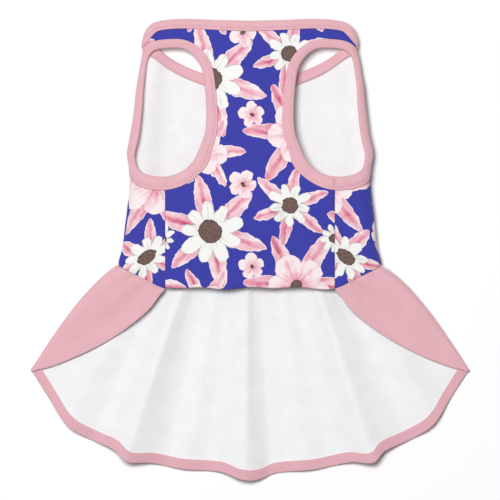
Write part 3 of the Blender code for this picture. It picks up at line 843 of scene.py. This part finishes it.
def make_back_panel():
    """Cloth behind each leg opening, the flat back between them and the cloth down to the waist."""
    side_columns = [(TURN_IN, share) for share in steps(1.0, 0.0, BACK_ROUND_COLUMNS)]
    side_columns += [(SIDE_SEAM, share) for share in line(1.0, 0.0, BACK_SIDE_COLUMNS)]
    top = neck_place(shoulder_share(), SEWN_DEPTH)
    side_line = []
    for index, y in enumerate(line(top.y, YOKE_Y, BACK_SIDE_ROWS)):
        side_line.append(Vector((mix(top.x, turn_length(YOKE_Y), index / BACK_SIDE_ROWS), y)))
    outer = side_line[:-1] + [region_place(column, YOKE_Y) for column in side_columns]
    around_again = FACES_SIDE_SEAM - len(ARMHOLE_EDGE)
    openings = steps(FACES_SHOULDER, FACES_BACK_YOKE, BACK_SIDE_ROWS)
    openings += line(FACES_BACK_YOKE, around_again, BACK_ROUND_COLUMNS + BACK_SIDE_COLUMNS)
    fan = rays(openings, outer, BACK_RAY_STEPS)

    flat_back = []
    for index, place in enumerate(side_line):
        down = index / BACK_SIDE_ROWS
        row = []
        for share in line(0.0, 1.0, BACK_COLUMNS):
            neck = neck_place(mix(shoulder_share(), 1.0, share), SEWN_DEPTH)
            y = mix(neck.y, YOKE_Y, down)
            top_share = (neck.x - top.x) / (neck_place(1.0, SEWN_DEPTH).x - top.x)
            row.append(Vector((mix(place.x, half_girth(y), mix(top_share, share, down)), y)))
        flat_back.append(row)

    lower = []
    for column in [(TURN_OUT, share) for share in steps(1.0, 0.0, BACK_COLUMNS)] + side_columns:
        end_y = waist_seam(region_place(column, BELLY_EDGE_Y + WAIST_RISE / 2).x)
        lower.append([region_place(column, y) for y in line(YOKE_Y, end_y, BACK_LOWER_ROWS)])
    fan[0] = moved_towards(fan[0], fan[1], SEAM_GAP / 2)
    fan[-1] = moved_towards(fan[-1], fan[-2], SEAM_GAP / 2)
    lower[-1] = moved_towards(lower[-1], lower[-2], SEAM_GAP / 2)
    lower[-1][0] = fan[-1][-1]
    flat_back[0][0] = fan[0][-1]
    grids = both_sides([fan, flat_back, lower], lambda side, at: body_point(side, at.x, at.y), back_place)
    panel = cloth_mesh("back_panel_cloth", grids, (BACK_PRINT, WHITE_INSIDE))
    give_wall(panel, CLOTH_WALL, 1)
    return panel


back_panel = make_back_panel()
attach(back_panel, "root")
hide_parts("back_panel")


# Neck binding. A strip of pink rib folded over the raw neck edge of both panels, and closed with a row of
# stitches through all its layers. It stands a little proud, rounded at its fold.

BINDING_PINK = (0.790, 0.445, 0.500, 1.0)
THREAD_PINK = (0.860, 0.560, 0.610, 1.0)
NECK_BINDING_FRONT = 9.0 * MM
NECK_BINDING_BACK = 10.2 * MM
BINDING_KNIT = knit_material("binding_rib", BINDING_PINK, wale=0.9, sheen=0.3, bump=0.35)
THREAD = knit_material("pink_thread", THREAD_PINK, wale=0.4, roughness=0.6, sheen=0.1, bump=0.1)
STITCH_LENGTH = 2.1 * MM
STITCH_PITCH = 2.9 * MM
STITCH_THICKNESS = 0.42 * MM
STITCH_INSET = 1.7 * MM
STITCH_SINK = 0.10 * MM
STITCH_DIP = 0.65 * MM
STITCH_DIP_REACH = 0.7 * MM
BINDING_DOME = 0.75 * MM
BINDING_RIPPLE = 0.22 * MM
BINDING_SHOULDER = 2.4 * MM

# Corner of a binding's section at the start of its fold
FOLD_CORNER = 12


def binding_profile(width):
    """Rounded section of a folded strip: distance in from its fold, distance out of the cloth."""
    under = -CLOTH_WALL - BINDING_GAP
    outline = [(width, BINDING_GAP), (width + 0.25 * MM, BINDING_GAP + 0.3 * MM)]
    for inward in line(width - 0.2 * MM, BINDING_SHOULDER, FOLD_CORNER - 3):
        open_share = (inward - BINDING_SHOULDER) / (width - BINDING_SHOULDER)
        dome = BINDING_DOME * math.sin(math.pi * min(max(open_share * 1.15, 0.0), 1.0))
        sewn = STITCH_DIP * near(inward - width + STITCH_INSET, STITCH_DIP_REACH)
        outline.append((inward, BINDING_GAP + BINDING_WALL + dome * (1.0 - open_share * 0.4) - sewn))
    for angle in line(math.pi / 2, -math.pi / 2, 8):
        middle = -CLOTH_WALL / 2
        reach = BINDING_GAP + BINDING_WALL - middle
        outline.append((BINDING_SHOULDER * (1.0 - math.cos(angle)), middle + reach * math.sin(angle)))
    outline += [(inward, under - BINDING_WALL) for inward in line(BINDING_SHOULDER, width, 3)]
    outline += [(inward, under) for inward in line(width, SEWN_DEPTH - BINDING_GAP, 3)]
    outline += [(inward, BINDING_GAP) for inward in line(SEWN_DEPTH - BINDING_GAP, width, 3)]
    return outline


def binding_ring(side, at, edge, width, ripple):
    """Corners round a binding's section at a place on its edge; edge gives a pattern place."""
    ring = []
    for inward, outward in binding_profile(width):
        place = edge(at, inward)
        lively = ripple * BINDING_RIPPLE * eased(inward / width * 2) if outward > 0.0 else 0.0
        ring.append(body_point(side, place.x, place.y, outward + lively))
    return ring


def with_cloth_places(rings):
    """Rings of points, each with its place on the strip: distance along it and across it."""
    rows = []
    travelled = 0.0
    for index, ring in enumerate(rings):
        if index:
            travelled += (ring[FOLD_CORNER] - rings[index - 1][FOLD_CORNER]).length
        across = 0.0
        row = []
        for number, point in enumerate(ring):
            if number:
                across += (point - ring[number - 1]).length
            row.append((point, (travelled, across)))
        rows.append(row)
    return rows


def make_stitches(name, points, normals):
    """Row of sewing stitches that follows points, each stitch a small lens of thread."""
    shape = bmesh.new()
    waiting = STITCH_PITCH / 2
    for start, end, normal in zip(points, points[1:], normals):
        step = end - start
        if step.length < 1e-7:
            continue
        ahead = step.normalized()
        up = (normal - ahead * normal.dot(ahead)).normalized()
        turn = Matrix((ahead, up.cross(ahead), up)).transposed().to_4x4()
        size = Matrix.Diagonal((STITCH_LENGTH / 2, STITCH_THICKNESS / 2, STITCH_THICKNESS / 2, 1.0))
        while waiting <= step.length:
            place = Matrix.Translation(start + ahead * waiting) @ turn @ size
            bmesh.ops.create_icosphere(shape, subdivisions=2, radius=1.0, matrix=place)
            waiting += STITCH_PITCH
        waiting -= step.length
    for face in shape.faces:
        face.smooth = True
    shape.loops.layers.uv.new("pattern")
    mesh = bpy.data.meshes.new(name)
    shape.to_mesh(mesh)
    shape.free()
    mesh.materials.append(THREAD)
    stitches = bpy.data.objects.new(name, mesh)
    bpy.context.scene.collection.objects.link(stitches)
    return stitches


def binding_stitches(name, stations, edge, width_at):
    """Stitch row near a binding's open edge; stations are pairs of side and place on the edge."""
    points = []
    normals = []
    for side, at in stations:
        place = edge(at, width_at(at) - STITCH_INSET)
        low = body_point(side, place.x, place.y, BINDING_GAP + BINDING_WALL - STITCH_SINK)
        high = body_point(side, place.x, place.y, BINDING_GAP + BINDING_WALL + 1.0 * MM)
        points.append(low)
        normals.append((high - low).normalized())
    return make_stitches(name, points, normals)


def neck_binding_width(share):
    """The strip lies narrower where it turns over the sides."""
    return mix(NECK_BINDING_SIDE, NECK_BINDING_BACK if share > 0.0 else NECK_BINDING_FRONT, share * share)


def neck_stations():
    """Side and place on the neck edge, all the way round from the belly centre."""
    shares = [mix(share, share ** 3, 0.45) for share in line(-1.0, 1.0, 84)]
    return [(1, share) for share in shares] + [(-1, share) for share in shares[-2::-1]]


def make_neck_binding():
    """Folded strip all the way round the neck edge."""
    rings = []
    for side, share in neck_stations():
        ripple = noise.noise(Vector((share * 24.0, side * 4.0, 1.0)))
        rings.append(binding_ring(side, share, neck_place, neck_binding_width(share), ripple))
    return cloth_mesh("neck_binding_strip", [with_cloth_places(rings)], (BINDING_KNIT,), closed=True)


neck_binding = make_neck_binding()
neck_stitches = binding_stitches(
    "neck_binding_stitches", neck_stations(), neck_place, neck_binding_width)
for piece in (neck_binding, neck_stitches):
    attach(piece, "root")
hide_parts("neck_binding")


# Arm bindings. The same pink rib, folded and sewn round each leg opening. It lies narrower at the shoulder,
# where it is stretched, than at the foot of the opening.

ARM_BINDING_TOP = 7.4 * MM
ARM_BINDING_BOTTOM = 11.4 * MM


def arm_binding_width(place):
    """The strip lies wider towards the foot of the opening."""
    return mix(ARM_BINDING_TOP, ARM_BINDING_BOTTOM, read_loop(ARMHOLE_EDGE, place, 1))


for side, label in ((-1, "left"), (1, "right")):
    stations = [(side, at) for at in line(0.0, float(len(ARMHOLE_EDGE)), 170)]
    rings = []
    for _, at in stations:
        turn = 2 * math.pi * at / len(ARMHOLE_EDGE)
        around = Vector((math.cos(turn) * 9.0, math.sin(turn) * 9.0, side * 2.0))
        rings.append(binding_ring(side, at, armhole_edge, arm_binding_width(at), noise.noise(around)))
    name = "arm_binding_" + label
    arm_binding = cloth_mesh(name + "_strip", [with_cloth_places(rings)], (BINDING_KNIT,), closed=True)
    arm_stitches = binding_stitches(name + "_stitches", stations, armhole_edge, arm_binding_width)
    for piece in (arm_binding, arm_stitches):
        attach(piece, "root")
    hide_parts(name)


# Skirt. A crescent of pink knit, white on its inner face, gathered into the waist seam from side seam to
# side seam round the back. Its front ends fold over onto the near side, and it falls in radial folds.

HEM_Y = BELLY_EDGE_Y - SKIRT_DROP
CORNER_Y = BELLY_EDGE_Y - 70.6 * MM
HEM_HALF_WIDTH = 188.3 * MM
CORNER_FOLD_RADIUS = 2.3 * MM
CORNER_UNDER = 0.4
TIP_REACH = Vector((1.04 * MM, -2.34 * MM, 0.0))

# Outward bulge of the folded sides, across their edge, and how fast it fades towards the back
SIDE_FLARE = 6.5 * MM
FLARE_WAY = (0.765, 0.643)
FLARE_POWER = 0.7
FLARE_FADE = 4

# Height of the folds at the hem, how fast they grow down from the waist, and how sharply the short slope
# falls from its crest
FOLD_HEIGHT = 14.0 * MM
FOLD_GROWTH = 0.4
FOLD_SHARPNESS = 2.6
FOLD_EASE = 0.7

# Trough along each folded end: its depth, its place across the fold and its reach
FLAP_TROUGH = 2.6 * MM
TROUGH_PLACE = 0.52
TROUGH_REACH = 0.2
FLAP_FALL = 1.4

# Gathers below the waist seam, and loose waves
GATHER_HEIGHT = 1.5 * MM
GATHER_LENGTH = 16.0 * MM
GATHERS_PER_METRE = 170.0
SKIRT_WAVE = 0.9 * MM
SKIRT_WAVES_PER_METRE = 22.0

# Share of the front edge's length, share of the way out from its tip to the corner, share of the way down
FLAP_EDGE = (
    (0.000, 0.000, 0.000),
    (0.036, 0.030, 0.050),
    (0.151, 0.110, 0.229),
    (0.348, 0.290, 0.476),
    (0.509, 0.450, 0.651),
    (0.731, 0.690, 0.844),
    (0.917, 0.900, 0.976),
    (1.000, 1.000, 1.000),
)

# Share of the hem's length from corner to back centre, then share of its half width and of its drop, on
# the left and on the right
HEM_EDGE = (
    (0.000, 1.000, 0.000, 1.000, 0.000),
    (0.135, 0.914, 0.271, 0.914, 0.262),
    (0.261, 0.828, 0.515, 0.836, 0.500),
    (0.372, 0.712, 0.642, 0.734, 0.627),
    (0.457, 0.618, 0.723, 0.614, 0.733),
    (0.522, 0.562, 0.826, 0.564, 0.834),
    (0.608, 0.459, 0.836, 0.467, 0.830),
    (0.732, 0.314, 0.893, 0.300, 0.897),
    (0.886, 0.130, 0.922, 0.120, 0.930),
    (0.962, 0.045, 0.985, 0.045, 0.985),
    (1.000, 0.000, 1.000, 0.000, 1.000),
)

# Crest on the hem from the left corner -1 to the right corner 1, share of the half hem that each slope
# takes, share of the fold height
SKIRT_FOLDS = (
    (-0.750, 0.160, 0.140, 0.62),
    (-0.485, 0.170, 0.165, 1.00),
    (-0.240, 0.110, 0.100, 0.22),
    (-0.015, 0.170, 0.110, 0.74),
    (0.230, 0.100, 0.110, 0.22),
    (0.475, 0.165, 0.170, 0.96),
    (0.750, 0.140, 0.160, 0.60),
)
FLAP_STEPS = 30
TURN_STEPS = 14
SKIRT_STEPS = 96
DROP_STEPS = 64
HEM_WIDTH = 9.0 * MM
SKIRT_WALL = 0.7 * MM
HEM_WALL = 0.6 * MM
HEM_LIP = 1.3 * MM
HEM_FOLD = 0.85 * MM
HEM_STITCH_INSET = 1.6 * MM
HEM_LIMIT = 0.6
SKIRT_PINK = (0.775, 0.440, 0.492, 1.0)
SKIRT_KNIT = knit_material("skirt_jersey", SKIRT_PINK, wale=1.1)


def fold_rise(place, share):
    """Share of the fold height at a place on the hem, from the left corner -1 to the right corner 1. The
    short slope of a fold falls sharply from its crest near the waist, and eases towards the hem."""
    total = 0.0
    for crest, left, right, height in SKIRT_FOLDS:
        reach = left if place < crest else right
        rest = max(1.0 - abs(place - crest) / reach, 0.0)
        slope = eased(rest)
        if reach < max(left, right):
            slope = mix(rest ** FOLD_SHARPNESS, slope, FOLD_EASE * share)
        total += height * slope
    return total


def skirt_columns(side):
    """Rays of the skirt on one side, from the tip of its folded end to the back centre: side, waist
    place, waist point, hem point, share of the side flare and place on the hem."""
    fold_y = BELLY_EDGE_Y + WAIST_RISE
    turn = turn_length(fold_y)
    seam = SIDE_SEAM_REACH - half_girth(BELLY_EDGE_Y) + SEAM_GAP
    tip = body_point(1, seam, waist_seam(seam))
    tip += TIP_REACH
    corner = Vector((HEM_HALF_WIDTH, CORNER_Y, CORNER_FOLD_RADIUS))
    edge_out = Vector((corner.x - half_width(fold_y), corner.y - fold_y)).normalized()
    outwards = Vector((-edge_out.y, edge_out.x, 0.0))
    columns = []

    def add_column(along, end, flare, place):
        """Ray from a place on the waist seam to a point of the right half's edge."""
        start = body_point(side, along, waist_seam(along) - SEAM_GAP)
        end = Vector((end.x * side, end.y, end.z))
        columns.append((side, along, start, end, flare, place))

    for share in steps(0.0, 1.0, FLAP_STEPS):
        x = mix(tip.x, corner.x - CORNER_FOLD_RADIUS, read_table(FLAP_EDGE, share, 1))
        y = mix(tip.y, corner.y, read_table(FLAP_EDGE, share, 2))
        z = mix(2 * CORNER_FOLD_RADIUS, tip.z, (1.0 - share) ** FLAP_FALL)
        add_column(mix(seam, -turn, share), Vector((x, y, z)), share * share, 1.0)
    for share in line(0.0, 1.0, TURN_STEPS):
        angle = mix(math.pi / 2, -math.pi / 2, share)
        reach = CORNER_FOLD_RADIUS * (math.cos(angle) - 1.0) * (1.0 if angle > 0.0 else CORNER_UNDER)
        end = corner + outwards * reach + Vector((0.0, 0.0, CORNER_FOLD_RADIUS * math.sin(angle)))
        add_column(mix(-turn, turn, share), end, 1.0, 1.0)
    out_column = 1 if side < 0 else 3
    for share in line(0.0, 1.0, SKIRT_STEPS)[1:]:
        x = (HEM_HALF_WIDTH - CORNER_UNDER * CORNER_FOLD_RADIUS) * read_table(HEM_EDGE, share, out_column)
        y = mix(CORNER_Y, HEM_Y, read_table(HEM_EDGE, share, out_column + 1))
        along = mix(turn, half_girth(fold_y), share)
        add_column(along, Vector((x, y, 0.0)), (1.0 - share) ** FLARE_FADE, 1.0 - share)
    return columns


SKIRT_RAYS = skirt_columns(1) + skirt_columns(-1)[-2::-1]


def skirt_fall(ray, share):
    """Point of the skirt's outer face on a ray, without its small waves."""
    side, along, start, end, flare, place = ray
    point = mix(start, end, share)
    share = max(share, 0.0)
    bulge = SIDE_FLARE * math.sin(math.pi * share ** FLARE_POWER) * flare
    point += Vector((FLARE_WAY[0] * side, FLARE_WAY[1], 0.0)) * bulge
    if along > 0.0:
        rise = fold_rise(place * side, share) * share ** FOLD_GROWTH
        point.z += FOLD_HEIGHT * rise * (1.0 - flare)
    else:
        along_fold = math.sin(math.pi * min(share * 1.15, 1.0))
        point.z -= FLAP_TROUGH * near(flare ** 0.5 - TROUGH_PLACE, TROUGH_REACH) * along_fold
    return point


def skirt_point(number, share, outward=0.0):
    """Point on a ray of the skirt, at a distance out of its outer face, with its small waves."""
    before = SKIRT_RAYS[max(number - 1, 0)]
    after = SKIRT_RAYS[min(number + 1, len(SKIRT_RAYS) - 1)]
    ray = SKIRT_RAYS[number]
    point = skirt_fall(ray, share)
    across = skirt_fall(after, share + 0.001) - skirt_fall(before, share + 0.001)
    down = skirt_fall(ray, share + 0.01) - skirt_fall(ray, share - 0.01)
    out = down.cross(across).normalized()
    drop = (ray[3] - ray[2]).length * share
    gathers = noise.noise(Vector((ray[1] * GATHERS_PER_METRE, ray[0] * 0.3, 2.0)))
    gathers *= near(drop, GATHER_LENGTH)
    waves = noise.noise(Vector((point.x, point.y, out.z * 0.02)) * SKIRT_WAVES_PER_METRE)
    lift = GATHER_HEIGHT * gathers * eased(drop / (3.0 * MM))
    lift += SKIRT_WAVE * abs(waves) * eased(drop / (30.0 * MM))
    return point + out * (outward - lift if out.z < 0.0 else outward + lift)


def skirt_places():
    """Distance along the cloth of each ray, measured half way down it."""
    distances = [0.0]
    for before, after in zip(SKIRT_RAYS, SKIRT_RAYS[1:]):
        distances.append(distances[-1] + (skirt_fall(after, 0.6) - skirt_fall(before, 0.6)).length)
    return distances


SKIRT_DISTANCES = skirt_places()


def make_skirt():
    """Skirt from one folded end round the back to the other, down to where the hem turns."""
    grid = []
    for number, ray in enumerate(SKIRT_RAYS):
        drop = (ray[3] - ray[2]).length
        end_share = 1.0 - min(HEM_LIP / drop, 0.5)
        row = []
        for share in line(0.0, end_share, DROP_STEPS):
            row.append((skirt_point(number, share), (SKIRT_DISTANCES[number], share * drop)))
        grid.append(row)
    skirt = cloth_mesh("skirt_cloth", [grid[::-1]], (SKIRT_KNIT, WHITE_INSIDE))
    give_wall(skirt, SKIRT_WALL, 1)
    return skirt


skirt = make_skirt()
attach(skirt, "root")
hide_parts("skirt")


# Skirt hem. The skirt's edge, turned up once onto its white inner face, where its pink right side shows as
# a band. It is rounded at the fold and held by one row of stitches near its upper edge.

HEM_PINK = (0.740, 0.412, 0.464, 1.0)
HEM_KNIT = knit_material("hem_jersey", HEM_PINK, wale=1.1)


def hem_profile(width):
    """Section of the turned hem: distance up from the fold, distance out of the skirt's outer face."""
    outline = [(HEM_LIP - 0.15 * MM, 0.0), (HEM_FOLD, 0.0)]
    for angle in line(0.0, math.pi, 8)[1:]:
        outline.append((HEM_FOLD * (1.0 - math.sin(angle)), HEM_FOLD * (math.cos(angle) - 1.0)))
    inner = -2 * HEM_FOLD
    outline += [(distance, inner) for distance in line(HEM_FOLD, width, 5)[1:]]
    return outline


def make_skirt_hem():
    """Turned hem along all the rays, and the stitches that hold it."""
    grid = []
    stitch_points = []
    stitch_normals = []
    for number, ray in enumerate(SKIRT_RAYS):
        drop = (ray[3] - ray[2]).length
        width = min(HEM_WIDTH, HEM_LIMIT * drop)
        row = []
        across = 0.0
        for up, outward in hem_profile(width):
            point = skirt_point(number, 1.0 - up / drop, outward)
            if row:
                across += (point - row[-1][0]).length
            row.append((point, (SKIRT_DISTANCES[number], across)))
        grid.append(row)
        share = 1.0 - (width - HEM_STITCH_INSET) / drop
        low = skirt_point(number, share, -2 * HEM_FOLD)
        high = skirt_point(number, share, -2 * HEM_FOLD - 1.0 * MM)
        stitch_points.append(low)
        stitch_normals.append((high - low).normalized())
    hem = cloth_mesh("skirt_hem_fold", [grid[::-1]], (HEM_KNIT, WHITE_INSIDE))
    give_wall(hem, HEM_WALL, 1)
    stitches = make_stitches("skirt_hem_stitches", stitch_points, stitch_normals)
    return hem, stitches


skirt_hem, hem_stitches = make_skirt_hem()
for piece in (skirt_hem, hem_stitches):
    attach(piece, "root")
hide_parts("skirt_hem")


# Floor, light and camera. A plain white floor under a large soft light, and a long lens straight above.

FLOOR_SIZE = 8.0
FLOOR_LEVEL = -1.5 * MM
bpy.ops.mesh.primitive_plane_add(size=FLOOR_SIZE, location=(0.0, 0.0, FLOOR_LEVEL))
floor = bpy.context.active_object
floor.name = "floor"
paint = bpy.data.materials.new("white_floor")
paint.use_nodes = True
paint.node_tree.nodes["Principled BSDF"].inputs["Base Color"].default_value = (0.95, 0.95, 0.95, 1.0)
paint.node_tree.nodes["Principled BSDF"].inputs["Roughness"].default_value = 0.9
floor.data.materials.append(paint)

world = bpy.data.worlds.new("studio")
bpy.context.scene.world = world
world.use_nodes = True
world.node_tree.nodes["Background"].inputs["Color"].default_value = (1.0, 1.0, 1.0, 1.0)
world.node_tree.nodes["Background"].inputs["Strength"].default_value = 0.22


def add_soft_light(name, place, size, power):
    """Square soft light at a place, aimed at the dress."""
    data = bpy.data.lights.new(name, "AREA")
    data.size = size
    data.energy = power
    light = bpy.data.objects.new(name, data)
    light.location = place
    light.rotation_euler = (-Vector(place)).to_track_quat("-Z", "Y").to_euler()
    bpy.context.scene.collection.objects.link(light)


add_soft_light("overhead_light", (-0.45, 0.55, 3.0), 0.9, 86.0)

LENS = 500.0
SENSOR = 36.0
PHOTO_WIDTH = 0.428
PHOTO_LEVEL = 0.012
camera_data = bpy.data.cameras.new("camera")
camera_data.lens = LENS
camera_data.sensor_width = SENSOR
camera_data.clip_end = 20.0
camera = bpy.data.objects.new("camera", camera_data)
camera.location = (0.0, 0.0, PHOTO_LEVEL + PHOTO_WIDTH * LENS / SENSOR)
bpy.context.scene.collection.objects.link(camera)
bpy.context.scene.camera = camera
bpy.context.scene.view_settings.view_transform = "Standard"
